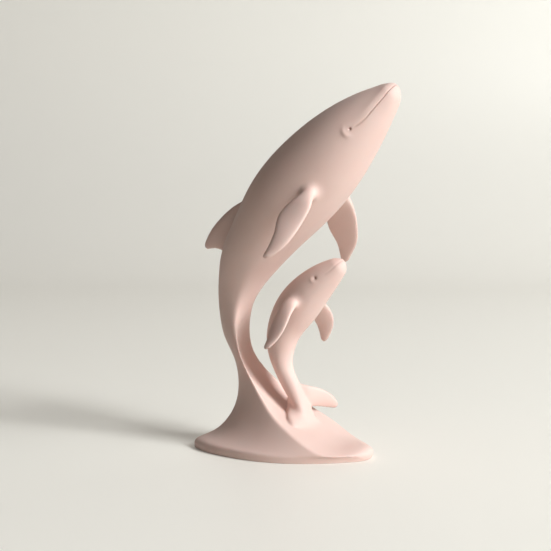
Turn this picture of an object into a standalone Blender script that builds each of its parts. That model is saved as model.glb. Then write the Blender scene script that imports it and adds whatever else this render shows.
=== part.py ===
"""Whale and calf leaping from a wave: a figurine cast as one solid piece.

The frame: metres, +Z up, origin on the flat underside at the middle of the foot.
The whales leap towards +X, their backs face -X, and the near flank is on the -Y side.
Lengths in this file are millimetres until the mesh is made.
"""

import bpy
import bmesh
import numpy as np

MM = 0.001
OBJECT_NAME = "whale_figurine"

# Mother's body: the middle of each section from snout to waist, with its depth and width.
# The depths and widths are shares of her greatest ones, which are set here.
MOTHER_PLANE = 0.0
MOTHER_DEPTH = 51.0
MOTHER_WIDTH = 49.0
SNOUT_ROUND = 6.0
#                x,     z,  depth, width
MOTHER_STATIONS = (
    (73.3, 212.1, 0.175, 0.18),
    (69.1, 207.4, 0.292, 0.30),
    (59.8, 199.2, 0.505, 0.515),
    (43.2, 184.8, 0.782, 0.80),
    (23.5, 166.1, 0.96, 0.97),
    (2.8, 145.6, 0.935, 0.99),
    (-12.8, 126.6, 0.78, 0.82),
    (-25.2, 108.3, 0.66, 0.61),
    (-31.1, 91.0, 0.50, 0.45),
    (-33.5, 77.0, 0.385, 0.40),
    (-31.0, 65.0, 0.34, 0.41),
)
# The last stations of her body are also the first ones of the wave.
SHARED_STATIONS = 5

# Mother's dorsal fin, in her middle plane: leading and trailing edge from root to tip.
FIN_THICKNESS = 6.0
FIN_LEADING = ((-18.0, 151.0), (-31.0, 146.5), (-43.5, 137.0), (-50.5, 128.5), (-54.0, 121.5))
FIN_TRAILING = ((-28.0, 112.0), (-39.0, 117.5), (-46.5, 119.5), (-50.5, 119.0), (-53.0, 119.0))

# Mother's flippers: leading and trailing edge as x, distance out from her middle plane, height.
FLIPPER_THICKNESS = 5.6
NEAR_FLIPPER_LEADING = (
    (32.8, 15.0, 156.0), (34.9, 22.0, 152.3), (36.9, 31.0, 145.8), (35.0, 36.0, 138.0),
    (31.9, 41.5, 129.8), (27.4, 45.5, 123.2), (18.8, 48.5, 116.9),
)
NEAR_FLIPPER_TRAILING = (
    (26.5, 15.0, 154.9), (25.4, 22.0, 151.3), (20.6, 31.0, 145.2), (18.4, 36.0, 139.4),
    (19.6, 41.5, 132.3), (18.6, 45.5, 125.0), (15.8, 48.5, 117.9),
)
# The far flipper hangs lower.
FAR_FLIPPER_LEADING = (
    (34.5, 15.0, 156.0), (35.0, 24.5, 146.9), (34.7, 31.0, 139.0), (32.9, 37.0, 131.0),
    (29.4, 43.0, 122.6), (24.2, 47.0, 116.0), (19.8, 50.0, 110.4),
)
FAR_FLIPPER_TRAILING = (
    (23.0, 15.0, 155.0), (17.6, 24.5, 146.9), (14.3, 31.0, 138.0), (14.6, 36.0, 130.0),
    (16.3, 42.0, 122.1), (16.1, 46.0, 116.0), (15.8, 49.5, 110.6),
)

# The wave under her: three ridges from the waist down to the foot.
#        back x, y, z,          near crest x, y, z,      far crest x, y, z
WAVE_RIDGES = (
    ((-28.6, 0.0, 138.6), (-3.0, -15.5, 119.2), (-3.0, 15.5, 119.2)),
    ((-40.3, 0.0, 115.9), (-16.0, -11.7, 103.5), (-16.0, 11.7, 103.5)),
    ((-44.0, 0.0, 94.2), (-22.9, -9.1, 90.4), (-22.6, 9.0, 90.4)),
    ((-42.7, 0.0, 77.0), (-25.3, -9.5, 77.0), (-26.0, 9.6, 77.0)),
    ((-39.1, 0.0, 65.0), (-23.2, -10.5, 65.0), (-25.7, 10.0, 64.0)),
    ((-32.5, -0.5, 54.0), (-19.0, -11.5, 54.5), (-21.4, 10.5, 53.7)),
    ((-29.0, -1.5, 41.0), (-12.0, -13.0, 44.0), (-12.7, 12.5, 43.7)),
    ((-28.5, -4.0, 30.0), (-3.0, -16.0, 33.5), (-1.0, 18.0, 32.0)),
    ((-31.2, -8.0, 20.0), (9.0, -20.0, 22.5), (12.0, 23.0, 22.4)),
    ((-38.0, -12.0, 11.5), (27.0, -22.0, 11.2), (25.0, 25.5, 14.4)),
    ((-46.5, -16.0, 6.8), (45.0, -13.5, 3.9), (42.0, 22.5, 6.3)),
    ((-50.5, -19.0, 3.4), (53.3, -3.0, 3.0), (53.3, 16.0, 3.1)),
    ((-50.0, -19.5, 0.0), (52.4, -1.8, 0.0), (52.4, 15.2, 0.0)),
)
# How far the middle of each side stands out from the straight line between its ridges.
NEAR_FLANK = (11.5, 7.5, 4.5, 3.0, 2.5, 2.0, 2.0, 2.5, 3.5, 7.5, 16.0, 20.5, 20.0)
CHANNEL = (8.0, 6.0, 3.8, 0.0, -4.0, -6.0, -6.2, -4.7, -2.0, 1.0, 3.0, 3.0, 2.4)
FAR_FLANK = (11.5, 7.5, 4.5, 3.0, 3.0, 3.0, 3.5, 5.5, 10.0, 17.0, 26.0, 29.0, 28.5)
# A bevel runs down beside the back ridge on the near flank, and fades out up the wave.
BEVEL_WIDTH = 12.0
BEVEL_RISE = 1.6
BEVEL_HEIGHT = 46.0
# The bevel's rise has fallen back to nothing at this many times its width.
BEVEL_REACH = 3.0
# How far the wave goes on below the ground before the underside is cut flat.
SKIRT = 4.0

# The calf, in its own middle plane.
CALF_PLANE = 5.0
CALF_DEPTH = 25.5
CALF_WIDTH = 24.5
CALF_SNOUT_ROUND = 5.0
CALF_STATIONS = (
    (39.0, 114.5, 0.31, 0.32),
    (35.4, 111.0, 0.465, 0.47),
    (27.2, 104.4, 0.72, 0.74),
    (17.6, 95.9, 0.915, 0.95),
    (7.5, 84.4, 0.985, 1.00),
    (-0.1, 71.7, 0.82, 0.84),
    (-2.5, 60.0, 0.655, 0.65),
    (-0.8, 49.0, 0.46, 0.49),
    (3.9, 39.5, 0.41, 0.42),
    (8.3, 32.5, 0.37, 0.46),
    (12.6, 26.0, 0.30, 0.56),
    (17.0, 17.8, 0.18, 0.66),
    (21.5, 12.6, 0.14, 0.70),
    (26.0, 9.4, 0.12, 0.62),
    (30.5, 6.8, 0.10, 0.50),
)
# Calf's flippers: leading and trailing edge as x, distance out from its middle plane, height.
CALF_FLIPPER_THICKNESS = 4.4
CALF_FLIPPER_LEADING = (
    (14.5, 7.0, 93.0), (16.5, 17.0, 88.5), (17.6, 25.0, 83.5), (17.3, 31.0, 76.5),
    (13.5, 34.5, 69.5), (9.0, 36.5, 65.0),
)
CALF_FLIPPER_TRAILING = (
    (8.0, 6.0, 91.0), (5.5, 14.5, 86.5), (5.0, 21.5, 81.0), (5.6, 27.5, 75.5),
    (6.2, 32.0, 69.5), (5.5, 35.0, 65.0),
)
# The calf's far flipper hangs lower at its tip too.
CALF_FAR_FLIPPER_SHIFT = (0.5, 0.5, -4.5)
# Calf's flukes, each side on its own: the near one lies down on the slide.
FLUKE_THICKNESS = 4.6
NEAR_FLUKE_LEADING = (
    (2.0, 0.0, 38.0), (3.0, 1.5, 30.5), (5.0, 5.0, 25.8), (6.8, 9.0, 23.6), (9.4, 13.3, 22.4),
    (12.6, 18.2, 20.4),
)
NEAR_FLUKE_TRAILING = (
    (16.0, 0.0, 16.0), (18.0, 1.5, 15.5), (19.5, 5.0, 14.8), (20.0, 9.0, 14.6), (19.3, 13.3, 15.0),
    (17.3, 18.0, 16.4),
)
FAR_FLUKE_LEADING = (
    (6.0, 0.0, 41.0), (13.1, 4.0, 39.0), (16.8, 10.0, 37.0), (19.7, 16.0, 34.2), (22.0, 21.0, 30.5),
    (23.5, 25.5, 25.5),
)
FAR_FLUKE_TRAILING = (
    (10.0, 0.0, 24.0), (12.5, 4.0, 25.0), (14.5, 10.0, 25.0), (17.0, 16.0, 24.0), (19.7, 21.0, 22.8),
    (22.3, 25.5, 22.0),
)

# Mouth lines: distance from the snout and angle round from the belly, the same on both sides.
MOUTH_GROOVE = 1.5
MOTHER_MOUTH = ((0.0, 90.0), (6.0, 81.0), (12.0, 76.0), (18.0, 72.0), (24.0, 70.0), (29.5, 73.0))
CALF_MOUTH = ((0.0, 88.0), (3.0, 88.0), (6.0, 86.0), (9.5, 84.0), (12.0, 86.0))
# Eyes: distance from the snout, angle round from the belly, dimple size.
MOTHER_EYE = (31.5, 76.0, 2.6)
CALF_EYE = (17.1, 98.0, 2.2)

# Where the crests start at the waist, as an angle round from her belly, and how they ease in.
CREST_ANGLE = 52.0
CREST_ROUND = 1.3
# The share of the shared stretch by which the crests have formed.
CREST_FORMED = 0.6
# Blades: how much thinner they get by the tip, and the tip's rounding in half chords.
BLADE_TAPER = 0.45
TIP_ROUND = 1.3
# A blade is thicker where it leaves the body, by this much and over this length.
SHOULDER_RISE = 3.5
CALF_SHOULDER_RISE = 3.0
NEAR_FLUKE_SHOULDER_RISE = 7.0
SHOULDER_REACH = 13.0

# Fineness of the made surface.
NUDGE = 0.1
CREST_PASSES = 10
CREST_PASS_LIMIT = 0.6
SIDE_POINTS = 24
BODY_RINGS = 90
SNOUT_CROWDING = 1.35
WAVE_RINGS = 140
BLADE_RINGS = 40
BLADE_POINTS = 32
TIP_CROWDING = 1.5
MOUTH_STEPS = 14
MOUTH_SIDES = 8
EYE_FINENESS = 2
VOXEL = 0.8
SMOOTH_STEPS = 10
TRIANGLE_SHARE = 0.042

RESIN_COLOUR = (0.74, 0.50, 0.44, 1.0)
RESIN_ROUGHNESS = 0.6

# Each whale as its stations, girths, middle plane and snout rounding.
MOTHER = (MOTHER_STATIONS, MOTHER_DEPTH, MOTHER_WIDTH, MOTHER_PLANE, SNOUT_ROUND)
CALF = (CALF_STATIONS, CALF_DEPTH, CALF_WIDTH, CALF_PLANE, CALF_SNOUT_ROUND)


def spline(knots, values, at):
    """Natural cubic curve through values at knots, read at the places in at."""
    knots = np.asarray(knots, float)
    values = np.asarray(values, float).reshape(len(knots), -1)
    gap = np.diff(knots)
    slope = np.diff(values, axis=0) / gap[:, None]
    size = len(knots)
    system = np.eye(size)
    right = np.zeros_like(values)
    inner = np.arange(1, size - 1)
    system[inner, inner - 1] = gap[:-1]
    system[inner, inner] = 2.0 * (gap[:-1] + gap[1:])
    system[inner, inner + 1] = gap[1:]
    right[inner] = 6.0 * np.diff(slope, axis=0)
    bend = np.linalg.solve(system, right)
    at = np.asarray(at, float)
    cell = np.clip(np.searchsorted(knots, at, side="right") - 1, 0, size - 2)
    step = gap[cell][:, None]
    far = (at - knots[cell])[:, None]
    near = step - far
    return (
        (bend[cell] * near**3 + bend[cell + 1] * far**3) / (6.0 * step)
        + (values[cell] / step - bend[cell] * step / 6.0) * near
        + (values[cell + 1] / step - bend[cell + 1] * step / 6.0) * far
    )


def travelled(points):
    """Distance walked along a row of points, starting from zero."""
    steps = np.linalg.norm(np.diff(np.asarray(points, float), axis=0), axis=1)
    return np.concatenate([[0.0], np.cumsum(steps)])


def unit(vectors):
    """The same directions with length one."""
    return vectors / np.linalg.norm(vectors, axis=-1, keepdims=True)


def body_surface(whale, places, turn):
    """Points of a whale's body at distances from the snout and angles round from the belly.

    Each ring is an ellipse across the middle line. Places and turn broadcast to one shape.
    """
    stations, depth, width, plane, snout = whale
    stations = np.asarray(stations, float)
    knots = travelled(stations[:, :2])
    read = spline(knots, stations, places)
    after = spline(knots, stations, places + NUDGE)
    before = spline(knots, stations, places - NUDGE)
    along = unit(after[:, :2] - before[:, :2])
    belly = np.stack([-along[:, 1], along[:, 0]], axis=1)
    close = np.clip(places / snout, 0.0, 1.0)
    close = np.sqrt(1.0 - (1.0 - close) ** 2)
    deep = (0.5 * depth * read[:, 2] * close)[:, None]
    wide = (0.5 * width * read[:, 3] * close)[:, None]
    across = np.cos(turn) * deep
    x = read[:, 0:1] + belly[:, 0:1] * across
    z = read[:, 1:2] + belly[:, 1:2] * across
    y = plane + np.sin(turn) * wide
    return np.stack([x, y, z], axis=2)


def body_rings(whale, turn, length):
    """Rings of a whale's body over a length from the closed snout, closer together at the snout."""
    places = length * np.linspace(0.0, 1.0, BODY_RINGS) ** SNOUT_CROWDING
    return body_surface(whale, places, turn[None, :])


def mouth_rings(whale, line):
    """Rings of a thin round tool that runs along the mouth line, round the snout from side to side."""
    table = np.asarray(line, float)
    places = np.linspace(0.0, table[-1, 0], MOUTH_STEPS)
    angles = np.radians(spline(table[:, 0], table[:, 1], places))
    side = body_surface(whale, places, -angles)[:, 0]
    other = body_surface(whale, places[1:], angles[1:])[:, 0]
    path = np.concatenate([side[::-1], other])
    along = unit(np.gradient(path, axis=0))
    across = unit(np.cross(along, [0.0, 0.0, 1.0]))
    above = np.cross(across, along)
    turn = np.linspace(0.0, 2.0 * np.pi, MOUTH_SIDES, endpoint=False)[None, :, None]
    radius = 0.5 * MOUTH_GROOVE
    return path[:, None] + radius * (across[:, None] * np.cos(turn) + above[:, None] * np.sin(turn))


def side_curve(start, end, middle, count):
    """Bent line from start to end whose middle passes through a given point."""
    bend = 2.0 * middle - 0.5 * (start + end)
    share = (np.arange(count) / count)[None, :, None]
    start, end, bend = start[:, None], end[:, None], bend[:, None]
    return start * (1.0 - share) ** 2 + 2.0 * bend * share * (1.0 - share) + end * share**2


def wave_knots():
    """Distance down the wave at which each of its stations lies."""
    return travelled(np.asarray(WAVE_RIDGES, float).mean(axis=1))


def bevelled(side, back):
    """The near flank with a bevel beside its back ridge, as wide as BEVEL_WIDTH low down."""
    length = np.linalg.norm(side[:, -1] - side[:, 0], axis=1)
    place = (BEVEL_WIDTH / (BEVEL_WIDTH + length))[:, None]
    share = (np.arange(side.shape[1]) / side.shape[1])[None, :]
    climb = np.clip(share / place, 0.0, 1.0)
    fall = np.clip((BEVEL_REACH - share / place) / (BEVEL_REACH - 1.0), 0.0, 1.0)
    fade = BEVEL_RISE * np.clip(1.0 - back[:, 2] / BEVEL_HEIGHT, 0.0, 1.0)
    run = side[:, -1] - side[:, 0]
    outward = unit(np.stack([run[:, 1], -run[:, 0], np.zeros(len(run))], axis=1))
    return side + outward[:, None, :] * (climb * fall * fade[:, None])[:, :, None]


def wave_rings(columns_per_side, places):
    """Rings of the wave at distances down it: channel, far flank, near flank."""
    ridges = np.asarray(WAVE_RIDGES, float)
    knots = wave_knots()
    read = spline(knots, ridges.reshape(len(ridges), 9), places).reshape(len(places), 3, 3)
    stand = spline(knots, np.stack([CHANNEL, FAR_FLANK, NEAR_FLANK], axis=1), places)
    back, near, far = read[:, 0], read[:, 1], read[:, 2]
    straight_down = np.array([0.0, 0.0, -1.0])
    slope = np.gradient(0.5 * (near + far), places, axis=0)
    channel = (near, far, slope, stand[:, 0])
    far_flank = (far, back, straight_down, stand[:, 1])
    near_flank = (back, near, straight_down, stand[:, 2])
    sides = []
    for start, end, fall, out in (channel, far_flank, near_flank):
        outward = unit(np.cross(fall, end - start))
        middle = 0.5 * (start + end) + outward * out[:, None]
        sides.append(side_curve(start, end, middle, columns_per_side))
    sides[2] = bevelled(sides[2], back)
    return softened(np.concatenate(sides, axis=1))


def softened(rings):
    """Rings with their corners rounded to about CREST_ROUND by averaging along each ring."""
    spacing = np.linalg.norm(np.roll(rings, -1, axis=1) - rings, axis=2).mean(axis=1)
    share = np.clip((CREST_ROUND / spacing) ** 2 / CREST_PASSES, 0.0, CREST_PASS_LIMIT)
    share = share[:, None, None]
    for _ in range(CREST_PASSES):
        around = 0.5 * (np.roll(rings, 1, axis=1) + np.roll(rings, -1, axis=1))
        rings = rings * (1.0 - share) + around * share
    return rings


def eased(share):
    """Smooth step from 0 to 1."""
    share = np.clip(share, 0.0, 1.0)
    return share * share * (3.0 - 2.0 * share)


def blade_rings(leading, trailing, thickness, shoulder=0.0):
    """Rings of a fin between its leading and trailing edge, closed and rounded at the tip."""
    leading = np.asarray(leading, float)
    trailing = np.asarray(trailing, float)
    knots = travelled(0.5 * (leading + trailing))
    share = np.linspace(0.0, 1.0, BLADE_RINGS)
    places = knots[-1] * (1.0 - (1.0 - share) ** TIP_CROWDING)
    read = spline(knots, np.concatenate([leading, trailing], axis=1), places)
    middle = 0.5 * (read[:, :3] + read[:, 3:])
    chord = 0.5 * (read[:, :3] - read[:, 3:])
    along = np.gradient(middle, places, axis=0)
    normal = unit(np.cross(chord, along))
    tip = np.linalg.norm(chord[-1]) * TIP_ROUND
    close = np.clip((knots[-1] - places) / tip, 0.0, 1.0)
    close = np.sqrt(1.0 - (1.0 - close) ** 2)[:, None, None]
    half = 0.5 * thickness * (1.0 - BLADE_TAPER * places / knots[-1])
    half = half + 0.5 * shoulder * np.exp(-((places / SHOULDER_REACH) ** 2))
    turn = np.linspace(0.0, 2.0 * np.pi, BLADE_POINTS, endpoint=False)
    around = (
        chord[:, None, :] * np.cos(turn)[None, :, None]
        + normal[:, None, :] * (half[:, None] * np.sin(turn)[None, :])[:, :, None]
    )
    return middle[:, None, :] + around * close


def mirrored(rings, plane):
    """The same rings on the other side of the plane y = plane."""
    other = rings.copy()
    other[:, :, 1] = 2.0 * plane - other[:, :, 1]
    return other[:, ::-1]


def add_closed_tube(mesh, rings):
    """Skin a stack of rings and close both ends with a fan, facing outwards."""
    rows, columns = rings.shape[:2]
    verts = [[mesh.verts.new(point * MM) for point in ring] for ring in rings]
    faces = []
    for row in range(rows - 1):
        for column in range(columns):
            after = (column + 1) % columns
            corners = (verts[row][column], verts[row][after], verts[row + 1][after], verts[row + 1][column])
            faces.append(mesh.faces.new(corners))
    for ring, backwards in ((0, True), (rows - 1, False)):
        middle = mesh.verts.new(rings[ring].mean(axis=0) * MM)
        for column in range(columns):
            after = (column + 1) % columns
            corners = [verts[ring][column], verts[ring][after], middle]
            faces.append(mesh.faces.new(corners[::-1] if backwards else corners))
    bmesh.ops.recalc_face_normals(mesh, faces=faces)


def mother_rings():
    """Mother and wave as one run of rings, with the ring's corners at the wave's ridges."""
    corners = np.radians([-CREST_ANGLE, CREST_ANGLE, 180.0, 360.0 - CREST_ANGLE])
    sides = [np.linspace(corners[k], corners[k + 1], SIDE_POINTS, endpoint=False) for k in range(3)]
    turn = np.concatenate(sides)
    body_knots = travelled(np.asarray(MOTHER_STATIONS, float)[:, :2])[-SHARED_STATIONS:]
    knots = wave_knots()
    shared = knots[:SHARED_STATIONS]
    body = body_rings(MOTHER, turn, body_knots[0])
    places = np.linspace(0.0, knots[-1], WAVE_RINGS)
    body_places = spline(shared, body_knots, np.minimum(places, shared[-1]))[:, 0]
    round_rings = body_surface(MOTHER, body_places, turn[None, :])
    share = eased(places / (CREST_FORMED * shared[-1]))[:, None, None]
    wave = round_rings * (1.0 - share) + wave_rings(SIDE_POINTS, places) * share
    foot = wave[-1].copy()
    foot[:, 2] -= SKIRT
    return np.concatenate([body, wave[1:], foot[None]])


def near_edge(points, plane):
    """Edge of a blade on the near side, from points given outwards from a middle plane."""
    table = np.asarray(points, float)
    return np.stack([table[:, 0], plane - table[:, 1], table[:, 2]], axis=1)


def near_blade(leading, trailing, plane, thickness, shoulder=0.0):
    """Rings of a flipper or fluke on the near side of a middle plane."""
    return blade_rings(near_edge(leading, plane), near_edge(trailing, plane), thickness, shoulder)


def shifted_tip(rings, shift):
    """The same blade with its tip moved, its root kept and the rest eased between."""
    share = np.linspace(0.0, 1.0, len(rings)) ** 2
    return rings + share[:, None, None] * np.asarray(shift)


def fin_edge(points):
    """Edge of the dorsal fin from points in the mother's middle plane."""
    table = np.asarray(points, float)
    return np.stack([table[:, 0], np.full(len(table), MOTHER_PLANE), table[:, 1]], axis=1)


def all_rings():
    """Every closed form of the casting, before they are fused."""
    turn = np.linspace(0.0, 2.0 * np.pi, 3 * SIDE_POINTS, endpoint=False)
    calf = body_rings(CALF, turn, travelled(np.asarray(CALF_STATIONS, float)[:, :2])[-1])
    fin = blade_rings(fin_edge(FIN_LEADING), fin_edge(FIN_TRAILING), FIN_THICKNESS)
    forms = [mother_rings(), calf, fin]
    sizes = (MOTHER_PLANE, FLIPPER_THICKNESS, SHOULDER_RISE)
    forms.append(near_blade(NEAR_FLIPPER_LEADING, NEAR_FLIPPER_TRAILING, *sizes))
    forms.append(mirrored(near_blade(FAR_FLIPPER_LEADING, FAR_FLIPPER_TRAILING, *sizes), MOTHER_PLANE))
    small = near_blade(
        CALF_FLIPPER_LEADING, CALF_FLIPPER_TRAILING, CALF_PLANE, CALF_FLIPPER_THICKNESS, CALF_SHOULDER_RISE
    )
    forms += [small, shifted_tip(mirrored(small, CALF_PLANE), CALF_FAR_FLIPPER_SHIFT)]
    near_fluke = (NEAR_FLUKE_LEADING, NEAR_FLUKE_TRAILING, CALF_PLANE, FLUKE_THICKNESS)
    forms.append(near_blade(*near_fluke, NEAR_FLUKE_SHOULDER_RISE))
    far_fluke = near_blade(FAR_FLUKE_LEADING, FAR_FLUKE_TRAILING, CALF_PLANE, FLUKE_THICKNESS)
    forms.append(mirrored(far_fluke, CALF_PLANE))
    return forms


def resin():
    """Matte pale pink cast resin."""
    material = bpy.data.materials.new("cast_resin")
    material.use_nodes = True
    shader = material.node_tree.nodes["Principled BSDF"]
    shader.inputs["Base Color"].default_value = RESIN_COLOUR
    shader.inputs["Roughness"].default_value = RESIN_ROUGHNESS
    return material


def new_collection(name):
    """A collection linked to the scene."""
    collection = bpy.data.collections.new(name)
    bpy.context.scene.collection.children.link(collection)
    return collection


def object_from(mesh, name, collection):
    """Finish a bmesh as an object in a collection."""
    data = bpy.data.meshes.new(name)
    mesh.to_mesh(data)
    mesh.free()
    made = bpy.data.objects.new(name, data)
    collection.objects.link(made)
    return made


def as_cutter(made):
    """Mark an object as a tool that only cuts."""
    made.hide_render = True
    made.display_type = "WIRE"
    return made


def add_foot_cutter(collection):
    """A block under the foot that cuts the underside flat at z = 0, wider than the foot all round."""
    foot = np.asarray(WAVE_RIDGES[-1], float)
    reach = np.abs(foot[:, :2]).max() + max(NEAR_FLANK[-1], FAR_FLANK[-1]) + SKIRT
    mesh = bmesh.new()
    size = 2.0 * reach * MM
    bmesh.ops.create_cube(mesh, size=size)
    bmesh.ops.translate(mesh, verts=mesh.verts, vec=(0.0, 0.0, -0.5 * size))
    return as_cutter(object_from(mesh, "foot_cutter", collection))


def add_face_cutter(collection):
    """Mouth grooves and eye dimples of both whales, as one tool."""
    mesh = bmesh.new()
    for whale, mouth, eye in ((MOTHER, MOTHER_MOUTH, MOTHER_EYE), (CALF, CALF_MOUTH, CALF_EYE)):
        add_closed_tube(mesh, mouth_rings(whale, mouth))
        place, angle, size = eye
        for side in (-1.0, 1.0):
            centre = body_surface(whale, np.array([place]), np.radians([[side * angle]]))[0, 0]
            ball = bmesh.ops.create_icosphere(mesh, subdivisions=EYE_FINENESS, radius=0.5 * size * MM)
            bmesh.ops.translate(mesh, verts=ball["verts"], vec=centre * MM)
    return as_cutter(object_from(mesh, "face_cutter", collection))


def add_whales(collection, cutters):
    """All forms in one object, fused, smoothed, thinned, then cut flat underneath and at the faces."""
    mesh = bmesh.new()
    for rings in all_rings():
        add_closed_tube(mesh, rings)
    whales = object_from(mesh, OBJECT_NAME, collection)
    whales.data.materials.append(resin())
    fuse = whales.modifiers.new("fuse", "REMESH")
    fuse.mode = "VOXEL"
    fuse.voxel_size = VOXEL * MM
    fuse.use_smooth_shade = True
    smooth = whales.modifiers.new("cast_fillets", "SMOOTH")
    smooth.factor = 0.5
    smooth.iterations = SMOOTH_STEPS
    thin = whales.modifiers.new("thin_out", "DECIMATE")
    thin.ratio = TRIANGLE_SHARE
    for cutter in cutters:
        cut = whales.modifiers.new(cutter.name, "BOOLEAN")
        cut.operation = "DIFFERENCE"
        cut.object = cutter
    return whales


def main():
    for old in list(bpy.data.objects):
        bpy.data.objects.remove(old, do_unlink=True)
    parts = new_collection(OBJECT_NAME)
    tools = new_collection("cutters")
    add_whales(parts, [add_foot_cutter(tools), add_face_cutter(tools)])


main()
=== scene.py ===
"""A whale and her calf leaping from a wave: the finished look of a cast resin figurine.

Inside the classes lengths are millimetres, and meshes are metres. The frame is the part's own: +Z up,
the origin under the middle of the foot, the whales leap towards +X and their near flank is on -Y.
"""

import logging
import math
from dataclasses import dataclass
from enum import Enum

import bmesh
import bpy
import numpy as np
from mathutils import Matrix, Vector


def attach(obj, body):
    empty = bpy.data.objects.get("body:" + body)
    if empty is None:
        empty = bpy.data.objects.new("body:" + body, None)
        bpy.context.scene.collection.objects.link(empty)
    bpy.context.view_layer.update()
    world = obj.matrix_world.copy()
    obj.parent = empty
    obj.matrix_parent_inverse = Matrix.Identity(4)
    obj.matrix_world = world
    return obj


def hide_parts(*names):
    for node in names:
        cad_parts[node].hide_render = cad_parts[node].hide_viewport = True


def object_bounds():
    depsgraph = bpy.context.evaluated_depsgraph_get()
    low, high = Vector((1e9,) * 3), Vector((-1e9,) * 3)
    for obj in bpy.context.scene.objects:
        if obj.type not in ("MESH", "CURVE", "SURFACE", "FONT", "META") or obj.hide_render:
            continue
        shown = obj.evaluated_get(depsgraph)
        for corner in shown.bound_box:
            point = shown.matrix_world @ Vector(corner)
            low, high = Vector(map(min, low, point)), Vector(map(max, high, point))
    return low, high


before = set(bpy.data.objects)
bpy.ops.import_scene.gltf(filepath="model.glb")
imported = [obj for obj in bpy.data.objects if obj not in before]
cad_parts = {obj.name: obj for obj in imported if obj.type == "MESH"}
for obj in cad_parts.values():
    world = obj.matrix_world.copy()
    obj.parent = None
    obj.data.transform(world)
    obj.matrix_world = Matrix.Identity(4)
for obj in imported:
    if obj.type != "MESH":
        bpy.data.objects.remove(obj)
CAD_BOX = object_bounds()

LOG = logging.getLogger("whale_figurine")
MM = 0.001
Table = tuple[tuple[float, ...], ...]


class Side(Enum):
    """The flank that a piece is on. The value is the sign of y."""

    NEAR = -1.0
    FAR = 1.0


def linear(code: str) -> tuple[float, float, float, float]:
    """Turn an sRGB hex colour into linear light.

    Args:
        code: Six hex digits, with or without a leading #.

    Returns:
        Red, green and blue as linear values, and an alpha of 1.
    """
    code = code.lstrip("#")
    srgb = np.array([int(code[k : k + 2], 16) / 255.0 for k in (0, 2, 4)])
    light = np.where(srgb <= 0.04045, srgb / 12.92, ((srgb + 0.055) / 1.055) ** 2.4)
    return (float(light[0]), float(light[1]), float(light[2]), 1.0)


def unit(vectors: np.ndarray) -> np.ndarray:
    """Return the same directions with length one."""
    return vectors / np.linalg.norm(vectors, axis=-1, keepdims=True)


def travelled(points: np.ndarray) -> np.ndarray:
    """Return the distance walked along a row of points, from zero."""
    steps = np.linalg.norm(np.diff(np.asarray(points, float), axis=0), axis=1)
    return np.concatenate([[0.0], np.cumsum(steps)])


def eased(share: np.ndarray) -> np.ndarray:
    """Ease from 0 to 1: three times the square less twice the cube, held outside that range."""
    share = np.clip(share, 0.0, 1.0)
    return share * share * (3.0 - 2.0 * share)


def eased_over(share: np.ndarray, stretch: tuple[float, float]) -> np.ndarray:
    """Ease from 0 to 1 over a stretch that is given by its start and its length."""
    start, length = stretch
    return eased((share - start) / length)


def hump(distance: np.ndarray, width: float) -> np.ndarray:
    """Bell curve of height one: e to the minus square of distance over width."""
    return np.exp(-((distance / width) ** 2))


def spline(knots: np.ndarray, values: np.ndarray, at: np.ndarray) -> np.ndarray:
    """Read a natural cubic spline.

    Each span is the cubic whose second derivative runs straight between its two ends, and the
    second derivative is zero at both ends of the curve.

    Args:
        knots: Rising places where the values are given.
        values: One row of values for each knot.
        at: Places to read.

    Returns:
        One row of values for each place.
    """
    knots = np.asarray(knots, float)
    values = np.asarray(values, float).reshape(len(knots), -1)
    gap = np.diff(knots)
    slope = np.diff(values, axis=0) / gap[:, None]
    size = len(knots)
    system = np.eye(size)
    right = np.zeros_like(values)
    inner = np.arange(1, size - 1)
    system[inner, inner - 1] = gap[:-1]
    system[inner, inner] = 2.0 * (gap[:-1] + gap[1:])
    system[inner, inner + 1] = gap[1:]
    right[inner] = 6.0 * np.diff(slope, axis=0)
    bend = np.linalg.solve(system, right)
    at = np.asarray(at, float)
    cell = np.clip(np.searchsorted(knots, at, side="right") - 1, 0, size - 2)
    step = gap[cell][:, None]
    far = (at - knots[cell])[:, None]
    near = step - far
    return (
        (bend[cell] * near**3 + bend[cell + 1] * far**3) / (6.0 * step)
        + (values[cell] / step - bend[cell] * step / 6.0) * near
        + (values[cell + 1] / step - bend[cell + 1] * step / 6.0) * far
    )


def tube_arrays(rings: np.ndarray) -> tuple[np.ndarray, np.ndarray, np.ndarray]:
    """Skin a stack of rings and close both ends on a middle point.

    Args:
        rings: Points as ring, place round the ring, and x y z.

    Returns:
        The points, the quads between rings, and the triangles of the two ends.
    """
    rows, columns = rings.shape[:2]
    points = np.concatenate([rings.reshape(-1, 3), rings[:1].mean(axis=1), rings[-1:].mean(axis=1)])
    row, column = np.meshgrid(np.arange(rows - 1), np.arange(columns), indexing="ij")
    after = (column + 1) % columns
    here, beyond = row * columns, (row + 1) * columns
    quads = np.stack([here + column, here + after, beyond + after, beyond + column], axis=-1).reshape(-1, 4)
    around = np.arange(columns)
    turn = (around + 1) % columns
    last = (rows - 1) * columns
    start = np.stack([turn, around, np.full(columns, rows * columns)], axis=1)
    end = np.stack([last + around, last + turn, np.full(columns, rows * columns + 1)], axis=1)
    return points, quads, np.concatenate([start, end])


def mesh_of_tubes(name: str, tubes: list[np.ndarray]) -> bpy.types.Mesh:
    """Put several closed tubes into one mesh.

    Args:
        name: The mesh's name.
        tubes: Stacks of rings in millimetres.

    Returns:
        The mesh in metres.
    """
    points, faces, offset = [], [], 0
    for rings in tubes:
        corners, quads, ends = tube_arrays(rings)
        points.append(corners * MM)
        faces += (quads + offset).tolist() + (ends + offset).tolist()
        offset += len(corners)
    mesh = bpy.data.meshes.new(name)
    mesh.from_pydata(np.concatenate(points), [], faces)
    mesh.update()
    return mesh


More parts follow.
